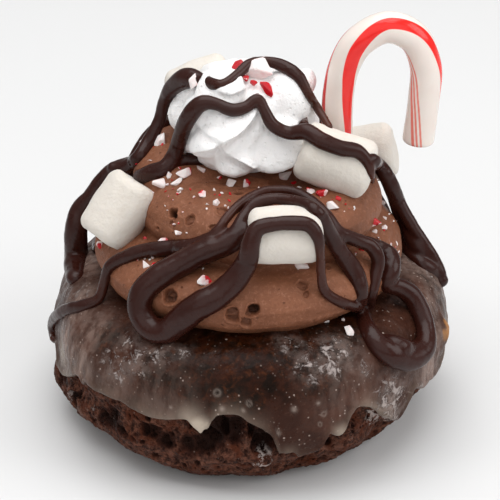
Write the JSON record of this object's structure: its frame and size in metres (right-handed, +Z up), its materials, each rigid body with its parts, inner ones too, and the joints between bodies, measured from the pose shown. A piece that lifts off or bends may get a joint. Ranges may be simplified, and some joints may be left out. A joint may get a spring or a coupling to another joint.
{
  "type": "frosted ring doughnut",
  "caption": "Glazed chocolate cake ring doughnut under a coiled chocolate frosting, whipped cream, marshmallows, a candy cane, crushed peppermint and thick chocolate drizzle.",
  "frame": {"origin": "centre of the footprint, on the surface that the doughnut rests on", "axes": "+Z up through the ring's hole, -Y to the front, where one marshmallow sits under a loop of drizzle, +X to the candy cane's side"},
  "size_m": [0.0888, 0.0879, 0.0917],
  "materials": {
    "glazed_cake": "dark chocolate cake under a cracked glossy glaze",
    "chocolate_frosting": "soft piped chocolate frosting with dark glossy drizzle",
    "whipped_cream": "soft matt white",
    "marshmallow": "powdery matt white",
    "striped_candy": "glossy white with red stripes"
  },
  "bodies": {
    "root": {"cake_ring": "glazed_cake", "frosting": "chocolate_frosting", "whipped_cream": "whipped_cream", "marshmallow_left": "marshmallow", "marshmallow_front": "marshmallow", "marshmallow_right": "marshmallow", "marshmallow_back_right": "marshmallow", "marshmallow_top": "marshmallow", "marshmallow_back": "marshmallow", "candy_cane": "striped_candy"}
  },
  "joints": []
}
